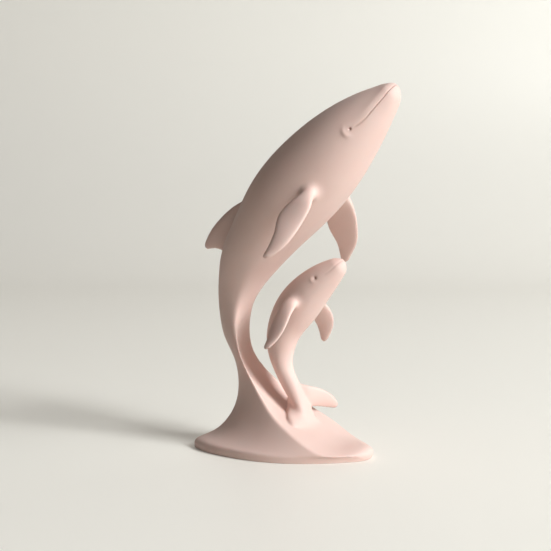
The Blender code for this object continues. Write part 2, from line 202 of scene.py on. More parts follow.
def coordinates(mesh: bpy.types.Mesh) -> np.ndarray:
    """Return a mesh's points in millimetres."""
    flat = np.empty(3 * len(mesh.vertices), np.float32)
    mesh.vertices.foreach_get("co", flat)
    return flat.reshape(-1, 3).astype(float) / MM


def set_coordinates(mesh: bpy.types.Mesh, points: np.ndarray) -> None:
    """Move a mesh's points to places in millimetres."""
    mesh.vertices.foreach_set("co", (points * MM).astype(np.float32).ravel())
    mesh.update()


def vertex_normals(mesh: bpy.types.Mesh) -> np.ndarray:
    """Return the mesh's normals at its points."""
    flat = np.empty(3 * len(mesh.vertices), np.float32)
    mesh.vertex_normals.foreach_get("vector", flat)
    return flat.reshape(-1, 3).astype(float)


def with_modifiers(mesh: bpy.types.Mesh, *settings: tuple[str, dict]) -> bpy.types.Mesh:
    """Run modifiers on a mesh and keep the result.

    Args:
        mesh: The mesh to start from, which is removed.
        settings: Modifier types, each with its settings, in order.

    Returns:
        The finished mesh.
    """
    holder = bpy.data.objects.new("holder", mesh)
    bpy.context.scene.collection.objects.link(holder)
    for kind, values in settings:
        modifier = holder.modifiers.new(kind.lower(), kind)
        for key, value in values.items():
            setattr(modifier, key, value)
    ready = holder.evaluated_get(bpy.context.evaluated_depsgraph_get())
    made = bpy.data.meshes.new_from_object(ready)
    bpy.data.objects.remove(holder, do_unlink=True)
    bpy.data.meshes.remove(mesh)
    return made


@dataclass(frozen=True)
class Fairing:
    """A stretch of skin that is worked smoother than the rest, round a line between two points.

    Attributes:
        start: One end of the line.
        end: Its other end.
        reach: Distance from the line at which the work has faded out.
        passes: How often each point is drawn half way to the middle of its neighbours.
    """

    start: tuple[float, float, float]
    end: tuple[float, float, float]
    reach: float
    passes: int

    def weight(self, points: np.ndarray) -> np.ndarray:
        """Return 1 on the line and an eased fall to 0 at the reach."""
        start = np.asarray(self.start)
        run = np.asarray(self.end) - start
        share = np.clip((points - start) @ run / (run @ run), 0.0, 1.0)
        away = np.linalg.norm(points - start - share[:, None] * run, axis=1)
        return 1.0 - eased(away / self.reach)

    def work(self, mesh: bpy.types.Mesh) -> None:
        """Relax the mesh's points near the line, and leave the others where they are."""
        points = coordinates(mesh)
        flat = np.empty(2 * len(mesh.edges), np.int32)
        mesh.edges.foreach_get("vertices", flat)
        edges = flat.reshape(-1, 2)
        weight = self.weight(points)
        edges = edges[(weight[edges] > 0.0).any(axis=1)]
        used, local = np.unique(edges, return_inverse=True)
        local = local.reshape(-1, 2)
        first = np.concatenate([local[:, 0], local[:, 1]])
        second = np.concatenate([local[:, 1], local[:, 0]])
        place = points[used]
        neighbours = np.bincount(first, minlength=len(used))[:, None]
        pull = 0.5 * weight[used][:, None]
        for _ in range(self.passes):
            total = np.stack([np.bincount(first, place[second, k], len(used)) for k in range(3)], axis=1)
            place = place + pull * (total / neighbours - place)
        points[used] = place
        set_coordinates(mesh, points)


@dataclass(frozen=True)
class WhaleBody:
    """A whale's body: ellipses across a bent middle line, closed in a round snout.

    Attributes:
        stations: x, z, depth share and width share from the snout back.
        depth: Greatest depth.
        width: Greatest width.
        plane: y of its middle plane.
        snout: Length over which the snout rounds off.
        head_reach: Distance from the snout's tip within which a face can be carved.
    """

    stations: Table
    depth: float
    width: float
    plane: float
    snout: float
    head_reach: float = 45.0

    def read(self, places: np.ndarray) -> np.ndarray:
        """Read x, z, depth share and width share at distances from the snout."""
        return spline(self.knots(), np.asarray(self.stations, float), places)

    def knots(self) -> np.ndarray:
        """Return each station's distance from the snout along the middle line."""
        return travelled(np.asarray(self.stations, float)[:, :2])

    def along(self, places: np.ndarray) -> np.ndarray:
        """Return the middle line's direction in x and z, away from the snout."""
        nudge = 0.1
        return unit((self.read(places + nudge) - self.read(places - nudge))[:, :2])

    def surface(self, places: np.ndarray, turn: np.ndarray) -> np.ndarray:
        """Work out points of the skin.

        A point is the middle line's, plus cosine of the turn times half the depth towards the belly,
        plus sine of the turn times half the width across. Near the snout both are cut by a quarter
        circle, so that the snout is round.

        Args:
            places: Distances from the snout.
            turn: Angles round from the belly, positive towards the far side, one row for all places
                or one for each.

        Returns:
            Points as place, angle, and x y z.
        """
        read = self.read(places)
        along = self.along(places)
        close = np.sqrt(1.0 - (1.0 - np.clip(places / self.snout, 0.0, 1.0)) ** 2)
        deep = (0.5 * self.depth * read[:, 2] * close)[:, None]
        wide = (0.5 * self.width * read[:, 3] * close)[:, None]
        across = np.cos(turn) * deep
        x = read[:, 0:1] - along[:, 1:2] * across
        z = read[:, 1:2] + along[:, 0:1] * across
        return np.stack([x, self.plane + np.sin(turn) * wide, z], axis=2)

    def rings(self, turn: np.ndarray, length: float, count: int) -> np.ndarray:
        """Return rings over a length from the snout, closer together at the snout."""
        crowding = 1.35
        places = length * np.linspace(0.0, 1.0, count) ** crowding
        return self.surface(places, turn[None, :])

    def head(self, points: np.ndarray) -> np.ndarray:
        """Return the numbers of the points that lie near the snout's tip."""
        tip = self.surface(np.array([0.0]), np.zeros((1, 1)))[0, 0]
        return np.flatnonzero(np.linalg.norm(points - tip, axis=1) < self.head_reach)

    def locate(self, points: np.ndarray) -> tuple[np.ndarray, np.ndarray, np.ndarray]:
        """Find where points lie on the body: the other way round from surface.

        The nearest of many places on the middle line, then a step along it to the foot of the
        point, and the angle of what is left, as cosine over depth and sine over width.

        Args:
            points: Points in millimetres.

        Returns:
            Distance from the snout, angle from the belly in degrees without its sign, and reach
            from the middle line.
        """
        front_share, steps = 0.45, 160
        places = np.linspace(0.0, front_share * self.knots()[-1], steps)
        line = self.read(places)
        along = self.along(places)
        flat = points[:, [0, 2]]
        nearest = ((flat[:, None, :] - line[None, :, :2]) ** 2).sum(axis=2).argmin(axis=1)
        off = flat - line[nearest, :2]
        place = places[nearest] + (off * along[nearest]).sum(axis=1)
        across = -off[:, 0] * along[nearest, 1] + off[:, 1] * along[nearest, 0]
        out = np.abs(points[:, 1] - self.plane)
        deep = self.depth * line[nearest, 2]
        wide = self.width * line[nearest, 3]
        angle = np.degrees(np.arctan2(out / wide, across / deep))
        return place, angle, np.hypot(across, out)


@dataclass(frozen=True)
class Face:
    """What is carved in a whale's head: mouth line, lip above it, eye and the fold behind it.

    Attributes:
        body: The whale.
        mouth: Distance from the snout and angle from the belly along the mouth line.
        groove: Depth of the mouth line, and its half width at the snout and at its back end.
        lip: Height, half width and distance above the mouth line of the lip's ridge.
        eye: Distance from the snout and angle of the eye.
        dimple: Depth and half width of the eye's hollow.
        fold: Height, half width and distance from the eye of the skin fold behind it.
        mouth_shade: How much painted shade is in the mouth line, 0 to 1.
        opening: Stretch of the mouth line over which groove and lip begin, as start and length.
        widening: Stretch over which the groove widens.
        shallowing: Stretch over which the groove loses its shallow share of depth.
        shallow: That share.
        closing: Stretch over which the groove ends.
        lip_closing: Stretch over which the lip ends.
    """

    body: WhaleBody
    mouth: Table
    groove: tuple[float, float, float]
    lip: tuple[float, float, float]
    eye: tuple[float, float]
    dimple: tuple[float, float]
    fold: tuple[float, float, float]
    mouth_shade: float = 1.0
    opening: tuple[float, float] = (-0.02, 0.08)
    widening: tuple[float, float] = (0.55, 0.35)
    shallowing: tuple[float, float] = (0.6, 0.2)
    shallow: float = 0.45
    closing: tuple[float, float] = (0.92, 0.12)
    lip_closing: tuple[float, float] = (0.5, 0.5)

    def measure(self, points: np.ndarray) -> tuple[np.ndarray, np.ndarray, np.ndarray, np.ndarray]:
        """Find how points lie to the mouth line and to the eye.

        Args:
            points: Points of the skin in millimetres.

        Returns:
            How far above the mouth line, how far along it as a share, how far behind the eye and
            how far above the eye, in millimetres except for the share.
        """
        table = np.asarray(self.mouth, float)
        place, angle, reach = self.body.locate(points)
        line = spline(table[:, 0], table[:, 1], np.clip(place, 0.0, table[-1, 0]))[:, 0]
        above = np.radians(angle - line) * reach
        behind = place - self.eye[0]
        over = np.radians(angle - self.eye[1]) * reach
        return above, place / table[-1, 0], behind, over

    def near(self, points: np.ndarray) -> np.ndarray:
        """Mark the points near enough to the carving to need a finer mesh."""
        above, share, behind, over = self.measure(points)
        by_mouth = (np.abs(above) < 2.0 * self.lip[2]) & (share < 1.2)
        by_eye = np.hypot(behind, over) < 2.0 * self.fold[2]
        return (by_mouth | by_eye) & (share > -0.2)

    def relief(self, points: np.ndarray) -> tuple[np.ndarray, np.ndarray]:
        """Work out how far the skin is raised or sunk.

        The mouth is a bell-shaped groove that widens and fades towards its back end, and the lip is
        a bell-shaped ridge above it. The eye is a round bell-shaped hollow, and the fold is a
        bell-shaped ridge at one distance from the eye, fading to both sides by the square of the cosine.

        Args:
            points: Points of the skin in millimetres.

        Returns:
            The rise along the normal in millimetres, and how much painted shade the point gets in the mouth
            line and the eye, 0 to 1.
        """
        above, share, behind, over = self.measure(points)
        front = eased_over(share, self.opening)
        width = self.groove[1] + (self.groove[2] - self.groove[1]) * eased_over(share, self.widening)
        mouth = hump(above, width) * front * (1.0 - self.shallow * eased_over(share, self.shallowing))
        mouth = mouth * (1.0 - eased_over(share, self.closing))
        ridge = hump(above - self.lip[2], self.lip[1]) * front * (1.0 - eased_over(share, self.lip_closing))
        away = np.hypot(behind, over)
        eye = hump(away, self.dimple[1])
        facing = behind / np.maximum(away, 0.01)
        fold = hump(away - self.fold[2], self.fold[1]) * np.clip(facing, 0.0, 1.0) ** 2
        rise = -self.groove[0] * mouth + self.lip[0] * ridge - self.dimple[0] * eye + self.fold[0] * fold
        # Painted shade: the mouth groove and the eye's hollow get the darker colour.
        return rise, np.clip(self.mouth_shade * mouth + eye, 0.0, 1.0)


@dataclass(frozen=True)
class Blade:
    """A fin, flipper or fluke: a rounded blade between a leading and a trailing edge.

    Attributes:
        leading: x, distance out from the plane, and z along the leading edge, root to tip.
        trailing: The same along the trailing edge.
        thickness: Thickness at the root.
        plane: y that the distances out are counted from.
        side: The flank that it is on.
        shift: How far the tip is moved, eased from the root.
        shoulder: How much thicker it is where it leaves the body.
        shoulder_reach: Length over which the shoulder fades out.
        taper: Share of the thickness that is lost by the tip.
    """

    leading: Table
    trailing: Table
    thickness: float
    plane: float = 0.0
    side: Side = Side.NEAR
    shift: tuple[float, float, float] = (0.0, 0.0, 0.0)
    shoulder: float = 0.0
    shoulder_reach: float = 13.0
    taper: float = 0.45

    def rings(self, count: int = 90, points: int = 64) -> np.ndarray:
        """Work out the blade's rings.

        A ring is the middle of the two edges, plus cosine times half the chord, plus sine times half
        the thickness across it. The thickness falls towards the tip, the shoulder adds a bell curve
        at the root, and the tip closes in a quarter circle.

        Args:
            count: Rings from root to tip.
            points: Points in a ring.

        Returns:
            Points as ring, place round it, and x y z.
        """
        crowding, tip_round = 1.5, 1.3
        leading = np.asarray(self.leading, float)
        trailing = np.asarray(self.trailing, float)
        knots = travelled(0.5 * (leading + trailing))
        places = knots[-1] * (1.0 - (1.0 - np.linspace(0.0, 1.0, count)) ** crowding)
        read = spline(knots, np.concatenate([leading, trailing], axis=1), places)
        middle = 0.5 * (read[:, :3] + read[:, 3:])
        chord = 0.5 * (read[:, :3] - read[:, 3:])
        normal = unit(np.cross(chord, np.gradient(middle, places, axis=0)))
        tip = np.linalg.norm(chord[-1]) * tip_round
        close = np.sqrt(1.0 - (1.0 - np.clip((knots[-1] - places) / tip, 0.0, 1.0)) ** 2)
        half = 0.5 * self.thickness * (1.0 - self.taper * places / knots[-1])
        half = half + 0.5 * self.shoulder * hump(places, self.shoulder_reach)
        turn = np.linspace(0.0, 2.0 * np.pi, points, endpoint=False)
        around = (
            chord[:, None, :] * np.cos(turn)[None, :, None]
            + normal[:, None, :] * (half[:, None] * np.sin(turn)[None, :])[:, :, None]
        )
        rings = middle[:, None, :] + around * close[:, None, None]
        rings[:, :, 1] = self.plane + self.side.value * rings[:, :, 1]
        ease = np.linspace(0.0, 1.0, count)[:, None, None] ** 2
        return rings + ease * np.asarray(self.shift)


@dataclass(frozen=True)
class Wave:
    """The wave under the whales: three ridges with a channel in front and a flank on each side.

    Attributes:
        ridges: For each station down the wave, x y z of the back ridge, near crest and far crest.
        channel: How far the middle of the channel stands out from the straight line between crests.
        far_flank: The same for the far flank.
        near_flank: The same for the near flank.
        crest_round: Rounding of the crests.
        bevel: Width, rise and greatest height of the bevel beside the back ridge on the near flank.
        bevel_reach: The bevel has fallen back to nothing at this many times its width.
    """

    ridges: tuple[Table, ...]
    channel: tuple[float, ...]
    far_flank: tuple[float, ...]
    near_flank: tuple[float, ...]
    crest_round: float = 1.3
    bevel: tuple[float, float, float] = (12.0, 1.6, 46.0)
    bevel_reach: float = 3.0

    def knots(self) -> np.ndarray:
        """Return each station's distance down the wave."""
        return travelled(np.asarray(self.ridges, float).mean(axis=1))

    def side(self, start: np.ndarray, end: np.ndarray, middle: np.ndarray, points: int) -> np.ndarray:
        """Bend a line from start to end through a middle point, as a parabola."""
        bend = 2.0 * middle - 0.5 * (start + end)
        share = (np.arange(points) / points)[None, :, None]
        first, last, bend = start[:, None], end[:, None], bend[:, None]
        return first * (1.0 - share) ** 2 + 2.0 * bend * share * (1.0 - share) + last * share**2

    def bevelled(self, side: np.ndarray, height: np.ndarray) -> np.ndarray:
        """Raise the near flank beside the back ridge.

        The rise climbs straight from the ridge to the bevel's width, falls straight back to nothing
        at its reach, and fades out with the height of the ridge.

        Args:
            side: Points of the flank as ring, place from the back ridge to the crest, and x y z.
            height: Height of the back ridge at each ring.

        Returns:
            The raised points.
        """
        width, rise, top = self.bevel
        run = side[:, -1] - side[:, 0]
        length = np.linalg.norm(run, axis=1)
        share = (np.arange(side.shape[1]) / side.shape[1])[None, :] * ((width + length) / width)[:, None]
        climb = np.clip(share, 0.0, 1.0)
        fall = np.clip((self.bevel_reach - share) / (self.bevel_reach - 1.0), 0.0, 1.0)
        lift = climb * fall * (rise * np.clip(1.0 - height / top, 0.0, 1.0))[:, None]
        outward = unit(np.stack([run[:, 1], -run[:, 0], np.zeros(len(run))], axis=1))
        return side + outward[:, None, :] * lift[:, :, None]

    def rings(self, places: np.ndarray, points: int) -> np.ndarray:
        """Work out the wave's rings.

        Each side is a parabola between two ridges, whose middle stands out by the side's own
        amount, and the ridges are splines down the wave.

        Args:
            places: Distances down the wave.
            points: Points on each of the three sides.

        Returns:
            Points as ring, place round it, and x y z.
        """
        ridges = np.asarray(self.ridges, float)
        knots = self.knots()
        read = spline(knots, ridges.reshape(len(ridges), 9), places).reshape(len(places), 3, 3)
        stand = spline(knots, np.stack([self.channel, self.far_flank, self.near_flank], axis=1), places)
        back, near, far = read[:, 0], read[:, 1], read[:, 2]
        down = np.array([0.0, 0.0, -1.0])
        slope = np.gradient(0.5 * (near + far), places, axis=0)
        sides = []
        for start, end, fall, out in (
            (near, far, slope, stand[:, 0]),
            (far, back, down, stand[:, 1]),
            (back, near, down, stand[:, 2]),
        ):
            outward = unit(np.cross(fall, end - start))
            middle = 0.5 * (start + end) + outward * out[:, None]
            sides.append(self.side(start, end, middle, points))
        sides[2] = self.bevelled(sides[2], back[:, 2])
        return self.softened(np.concatenate(sides, axis=1))

    def softened(self, rings: np.ndarray) -> np.ndarray:
        """Round the corners of the rings by averaging each point with its neighbours many times."""
        passes = 40
        spacing = np.linalg.norm(np.roll(rings, -1, axis=1) - rings, axis=2).mean(axis=1)
        share = np.clip((self.crest_round / spacing) ** 2 / passes, 0.0, 0.6)[:, None, None]
        for _ in range(passes):
            around = 0.5 * (np.roll(rings, 1, axis=1) + np.roll(rings, -1, axis=1))
            rings = rings * (1.0 - share) + around * share
        return rings


@dataclass(frozen=True)
class Leap:
    """The mother and the wave that she runs into, as one run of rings.

    Attributes:
        mother: Her body.
        wave: The wave.
        shared: How many of her last stations are also the wave's first ones.
        formed: Share of that stretch by which the crests have formed.
        crest_angle: Where the crests start at the waist, round from the belly in degrees.
        skirt: How far the foot goes on below the ground before it is cut flat.
    """

    mother: WhaleBody
    wave: Wave
    shared: int = 5
    formed: float = 0.6
    crest_angle: float = 52.0
    skirt: float = 4.0

    def rings(self, body_rings: int = 200, wave_rings: int = 300, points: int = 64) -> np.ndarray:
        """Work out the rings from the snout to below the foot.

        Along the shared stretch each ring is a mix of her ellipse and the wave's three-sided ring,
        and the wave's share eases from nothing to all.

        Args:
            body_rings: Rings of the body above the shared stretch.
            wave_rings: Rings from there to the foot.
            points: Points on each of the wave's three sides.

        Returns:
            Points as ring, place round it, and x y z.
        """
        corners = np.radians([-self.crest_angle, self.crest_angle, 180.0, 360.0 - self.crest_angle])
        sides = [np.linspace(corners[k], corners[k + 1], points, endpoint=False) for k in range(3)]
        turn = np.concatenate(sides)
        knots = self.wave.knots()
        shared = knots[: self.shared]
        beside = self.mother.knots()[-self.shared :]
        body = self.mother.rings(turn, beside[0], body_rings)
        places = np.linspace(0.0, knots[-1], wave_rings)
        on_body = spline(shared, beside, np.minimum(places, shared[-1]))[:, 0]
        share = eased(places / (self.formed * shared[-1]))[:, None, None]
        ellipses = self.mother.surface(on_body, turn[None, :])
        wave = ellipses * (1.0 - share) + self.wave.rings(places, points) * share
        foot = wave[-1:] - np.array([0.0, 0.0, self.skirt])
        return np.concatenate([body, wave[1:], foot])


def node(
    tree: bpy.types.NodeTree, kind: str, settings: dict | None = None, links: dict | None = None
) -> bpy.types.Node:
    """Add a shader node with its settings and links.

    Args:
        tree: The material's or world's node tree.
        kind: The node's type.
        settings: Values by socket name or number, or by property name with a leading dot.
        links: Sockets to link from, by input name or number.

    Returns:
        The node.
    """
    made = tree.nodes.new(kind)
    for key, value in (settings or {}).items():
        if isinstance(key, str) and key.startswith("."):
            setattr(made, key[1:], value)
        else:
            made.inputs[key].default_value = value
    for key, socket in (links or {}).items():
        tree.links.new(socket, made.inputs[key])
    return made


@dataclass(frozen=True)
class CastResin:
    """Polyester resin coloured through, cast in a silicone mould and left with its dull mould skin.

    The eye gets an even, soft pink without sparkle, edges that light up softly because a little
    light goes through, and painted shade: a darker colour in the mouth lines and eyes.

    Attributes:
        pale: Colour of most of the skin.
        warm: Colour of the faint clouds in it.
        recess_shade: Colour of the painted shade down in the mouth lines and eyes.
        roughness: Roughness of the mould skin.
        cloud_mm: Size of the clouds.
        grain_mm: Size of the mould's grain. Real grain is about 0.1 mm, too fine to show here.
        grain_depth_mm: Depth of the grain.
        glow: Share of light that goes through the skin.
        glow_mm: How far that light goes.
    """

    pale: str = "#E6CBC3"
    warm: str = "#E2C2B8"
    # Colour of the painted shade in the mouth lines and eyes.
    recess_shade: str = "#A98377"
    roughness: float = 0.58
    cloud_mm: float = 28.0
    grain_mm: float = 0.7
    grain_depth_mm: float = 0.02
    glow: float = 0.15
    glow_mm: float = 2.5

    def material(self) -> bpy.types.Material:
        """Build the resin's nodes."""
        made = bpy.data.materials.new("cast_resin_matte")
        made.use_nodes = True
        tree = made.node_tree
        shader = tree.nodes["Principled BSDF"]
        place = node(tree, "ShaderNodeTexCoord").outputs["Object"]
        clouds = node(
            tree,
            "ShaderNodeTexNoise",
            {"Scale": 1.0 / (self.cloud_mm * MM), "Detail": 3.0, "Roughness": 0.5},
            {"Vector": place},
        )
        tint = node(
            tree,
            "ShaderNodeMix",
            {".data_type": "RGBA", 6: linear(self.pale), 7: linear(self.warm)},
            {0: clouds.outputs[0]},
        )
        # Painted shade: the weight of the darker colour in the mouth lines and eyes, read from the points,
        # mixed over the skin colour.
        recess_shade = node(tree, "ShaderNodeAttribute", {".attribute_name": "recess_shade"})
        deep = node(
            tree,
            "ShaderNodeMix",
            {".data_type": "RGBA", 7: linear(self.recess_shade)},
            {0: recess_shade.outputs["Fac"], 6: tint.outputs[2]},
        )
        grain = node(
            tree,
            "ShaderNodeTexNoise",
            {"Scale": 1.0 / (self.grain_mm * MM), "Detail": 2.0},
            {"Vector": place},
        )
        bump = node(
            tree,
            "ShaderNodeBump",
            {"Strength": 0.5, "Distance": self.grain_depth_mm * MM},
            {"Height": grain.outputs[0]},
        )
        dull = node(
            tree,
            "ShaderNodeMapRange",
            {"To Min": self.roughness - 0.05, "To Max": self.roughness + 0.05},
            {"Value": clouds.outputs[0]},
        )
        shader.inputs["IOR"].default_value = 1.52
        shader.inputs["Subsurface Weight"].default_value = self.glow
        shader.inputs["Subsurface Radius"].default_value = (1.0, 0.4, 0.3)
        shader.inputs["Subsurface Scale"].default_value = self.glow_mm * MM
        tree.links.new(deep.outputs[2], shader.inputs["Base Color"])
        tree.links.new(dull.outputs[0], shader.inputs["Roughness"])
        tree.links.new(bump.outputs[0], shader.inputs["Normal"])
        return made


@dataclass(frozen=True)
class Casting:
    """The whole figurine: every form fused into one cast piece, with its faces carved.

    Attributes:
        leap: The mother and her wave.
        calf: The calf's body.
        blades: Fins, flippers and flukes.
        fairings: Where the joints between forms are worked smoother.
        faces: What is carved in the two heads.
        finish: The resin.
        voxel: Fineness at which the forms are fused.
        fillet_passes: Smoothing passes that turn the joints into cast fillets.
        most_triangles: Size of the finished mesh.
    """

    leap: Leap
    calf: WhaleBody
    blades: tuple[Blade, ...]
    fairings: tuple[Fairing, ...]
    faces: tuple[Face, ...]
    finish: CastResin
    voxel: float = 0.5
    fillet_passes: int = 16
    most_triangles: int = 190000

    def forms(self) -> list[np.ndarray]:
        """Return the rings of every form before they are fused."""
        turn = np.linspace(0.0, 2.0 * np.pi, 120, endpoint=False)
        calf = self.calf.rings(turn, self.calf.knots()[-1], 180)
        return [self.leap.rings(), calf] + [blade.rings() for blade in self.blades]

    def fused(self) -> bpy.types.Mesh:
        """Fuse the forms and smooth them, which rounds every inner corner into a fillet."""
        mesh = with_modifiers(
            mesh_of_tubes("forms", self.forms()),
            ("REMESH", {"mode": "VOXEL", "voxel_size": self.voxel * MM}),
            ("SMOOTH", {"factor": 0.5, "iterations": self.fillet_passes}),
        )
        for fairing in self.fairings:
            fairing.work(mesh)
        return mesh

    def cut_and_refined(self, mesh: bpy.types.Mesh) -> None:
        """Cut the underside flat at z = 0 and make the mesh finer round the faces."""
        work = bmesh.new()
        work.from_mesh(mesh)
        everything = work.verts[:] + work.edges[:] + work.faces[:]
        cut = bmesh.ops.bisect_plane(work, geom=everything, plane_no=(0.0, 0.0, -1.0), clear_outer=True)
        rim = [piece for piece in cut["geom_cut"] if isinstance(piece, bmesh.types.BMEdge)]
        bmesh.ops.contextual_create(work, geom=rim)
        work.to_mesh(mesh)
        points = coordinates(mesh)
        close = np.zeros(len(points), bool)
        for face in self.faces:
            head = face.body.head(points)
            close[head] |= face.near(points[head])
        work.verts.ensure_lookup_table()
        edges = [edge for edge in work.edges if close[edge.verts[0].index] and close[edge.verts[1].index]]
        bmesh.ops.subdivide_edges(work, edges=edges, cuts=2, use_grid_fill=True)
        bmesh.ops.triangulate(work, faces=work.faces[:])
        work.to_mesh(mesh)
        work.free()

    def relief(self, points: np.ndarray) -> tuple[np.ndarray, np.ndarray]:
        """Add up the carving of both faces at points of the skin, and their painted shade."""
        rise = np.zeros(len(points))
        recess_shade = np.zeros(len(points))
        for face in self.faces:
            head = face.body.head(points)
            lift, deep = face.relief(points[head])
            rise[head] += lift
            # Painted shade in the mouth lines and eyes: the larger of the two faces' weights.
            recess_shade[head] = np.maximum(recess_shade[head], deep)
        return rise, recess_shade

    def build(self) -> bpy.types.Object:
        """Make the casting and hand it to the frame."""
        mesh = self.fused()
        LOG.info("fused: %d points", len(mesh.vertices))
        self.cut_and_refined(mesh)
        points = coordinates(mesh)
        rise, _ = self.relief(points)
        set_coordinates(mesh, points + vertex_normals(mesh) * rise[:, None])
        ratio = min(1.0, self.most_triangles / len(mesh.polygons))
        mesh = with_modifiers(mesh, ("DECIMATE", {"ratio": ratio}))
        low, high = (np.asarray(corner, float) / MM for corner in CAD_BOX)
        points = np.clip(coordinates(mesh), low, high)
        set_coordinates(mesh, points)
        # Painted shade weight for the material, stored on the points.
        _, recess_shade = self.relief(points)
        layer = mesh.attributes.new("recess_shade", "FLOAT", "POINT")
        layer.data.foreach_set("value", recess_shade.astype(np.float32))
        mesh.shade_smooth()
        mesh.set_sharp_from_angle(angle=math.radians(60.0))
        mesh.name = "cast_whales"
        mesh.materials.clear()
        mesh.materials.append(self.finish.material())
        piece = bpy.data.objects.new("cast_whales", mesh)
        bpy.context.scene.collection.objects.link(piece)
        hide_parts("whale_figurine")
        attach(piece, "root")
        LOG.info("cast_whales: %d triangles", len(mesh.polygons))
        return piece


@dataclass(frozen=True)
class Studio:
    """A plain pale sweep, one broad lamp from the right and an even fill.

    Attributes:
        sweep: Colour of the floor and the wall behind.
        lift: Light that the sweep adds for rays that don't come from the casting.
        key_power: Power of the broad lamp in watts.
        key_size: Side of the broad lamp in metres.
        key_from: Direction towards the lamp, as azimuth from +X and elevation in degrees.
        key_distance: Its distance in metres.
        key_colour: Its colour as linear red, green and blue.
        aim: Height in metres that the lamp points at.
        fill: Strength of the even light.
        fill_colour: Its colour, a warm white.
        view: Place of the camera in metres.
        view_turn: How far the view is turned from looking along +Y, in degrees.
        view_dip: How far the camera looks down, in degrees.
        view_length: Focal length in widths of the picture.
    """

    sweep: str = "#E9E6DF"
    lift: float = 0.14
    key_power: float = 120.0
    key_size: float = 1.1
    key_from: tuple[float, float] = (-2.0, 30.0)
    key_distance: float = 3.0
    key_colour: tuple[float, float, float] = (0.97, 1.0, 1.0)
    aim: float = 0.1
    fill: float = 0.08
    fill_colour: tuple[float, float, float, float] = (1.0, 0.82, 0.70, 1.0)
    view: tuple[float, float, float] = (0.2924, -0.5125, 0.149)
    view_turn: float = 30.0
    view_dip: float = 4.3
    view_length: float = 1000.0 / 551.0

    def floor(self) -> None:
        """Make the sweep: a profile of floor, quarter circle and wall, carried straight across.

        The profile is straight, then turns by the sine and cosine of a quarter turn, then rises.
        """
        bend = np.linspace(0.0, 0.5 * np.pi, 24)
        radius, back, front, height, half, under = 0.5, 1.6, -1.6, 2.4, 3.0, 0.0002
        profile = np.concatenate(
            [
                [[front, 0.0]],
                np.stack([back - radius + radius * np.sin(bend), radius * (1.0 - np.cos(bend))], axis=1),
                [[back, height]],
            ]
        )
        across = np.array([-half, half])
        grid = np.empty((len(profile), 2, 3))
        grid[:, :, 0] = across[None, :]
        grid[:, :, 1] = profile[:, None, 0]
        grid[:, :, 2] = profile[:, None, 1] - under
        azimuth = math.radians(self.view_turn)
        spin = np.array(
            [[math.cos(azimuth), math.sin(azimuth), 0], [-math.sin(azimuth), math.cos(azimuth), 0], [0, 0, 1]]
        )
        points = grid.reshape(-1, 3) @ spin
        row = np.arange(len(profile) - 1)
        faces = np.stack([2 * row, 2 * row + 1, 2 * row + 3, 2 * row + 2], axis=1)
        mesh = bpy.data.meshes.new("sweep")
        mesh.from_pydata(points, [], faces.tolist())
        mesh.shade_smooth()
        paper = bpy.data.materials.new("sweep_paper")
        paper.use_nodes = True
        tree = paper.node_tree
        shader = tree.nodes["Principled BSDF"]
        shader.inputs["Base Color"].default_value = linear(self.sweep)
        shader.inputs["Roughness"].default_value = 0.5
        shader.inputs["Emission Color"].default_value = linear(self.sweep)
        ray = node(tree, "ShaderNodeLightPath")
        seen = node(
            tree,
            "ShaderNodeMath",
            {".operation": "MAXIMUM"},
            {0: ray.outputs["Is Camera Ray"], 1: ray.outputs["Is Glossy Ray"]},
        )
        lift = node(tree, "ShaderNodeMath", {".operation": "MULTIPLY", 1: self.lift}, {0: seen.outputs[0]})
        tree.links.new(lift.outputs[0], shader.inputs["Emission Strength"])
        mesh.materials.append(paper)
        sweep = bpy.data.objects.new("sweep", mesh)
        bpy.context.scene.collection.objects.link(sweep)

    def lamps(self) -> None:
        """Place the broad lamp and set the even fill."""
        azimuth, height = (math.radians(value) for value in self.key_from)
        towards = np.array(
            [math.cos(azimuth) * math.cos(height), math.sin(azimuth) * math.cos(height), math.sin(height)]
        )
        lamp = bpy.data.lights.new("window", "AREA")
        lamp.shape = "SQUARE"
        lamp.size = self.key_size
        lamp.energy = self.key_power
        lamp.color = self.key_colour
        holder = bpy.data.objects.new("window", lamp)
        holder.location = tuple(towards * self.key_distance + np.array([0.0, 0.0, self.aim]))
        holder.rotation_euler = (0.5 * math.pi - height, 0.0, azimuth + 0.5 * math.pi)
        bpy.context.scene.collection.objects.link(holder)
        world = bpy.data.worlds.new("studio")
        world.use_nodes = True
        background = world.node_tree.nodes["Background"]
        background.inputs["Color"].default_value = self.fill_colour
        background.inputs["Strength"].default_value = self.fill
        bpy.context.scene.world = world

    def camera(self) -> None:
        """Set the camera at the photograph's view."""
        lens = bpy.data.cameras.new("camera")
        lens.lens = lens.sensor_width * self.view_length
        holder = bpy.data.objects.new("camera", lens)
        holder.location = self.view
        holder.rotation_euler = (math.radians(90.0 - self.view_dip), 0.0, math.radians(self.view_turn))
        bpy.context.scene.collection.objects.link(holder)
        bpy.context.scene.camera = holder

    def build(self) -> None:
        """Set up floor, light and camera."""
        self.floor()
        self.lamps()
        self.camera()
        bpy.context.scene.view_settings.view_transform = "Standard"


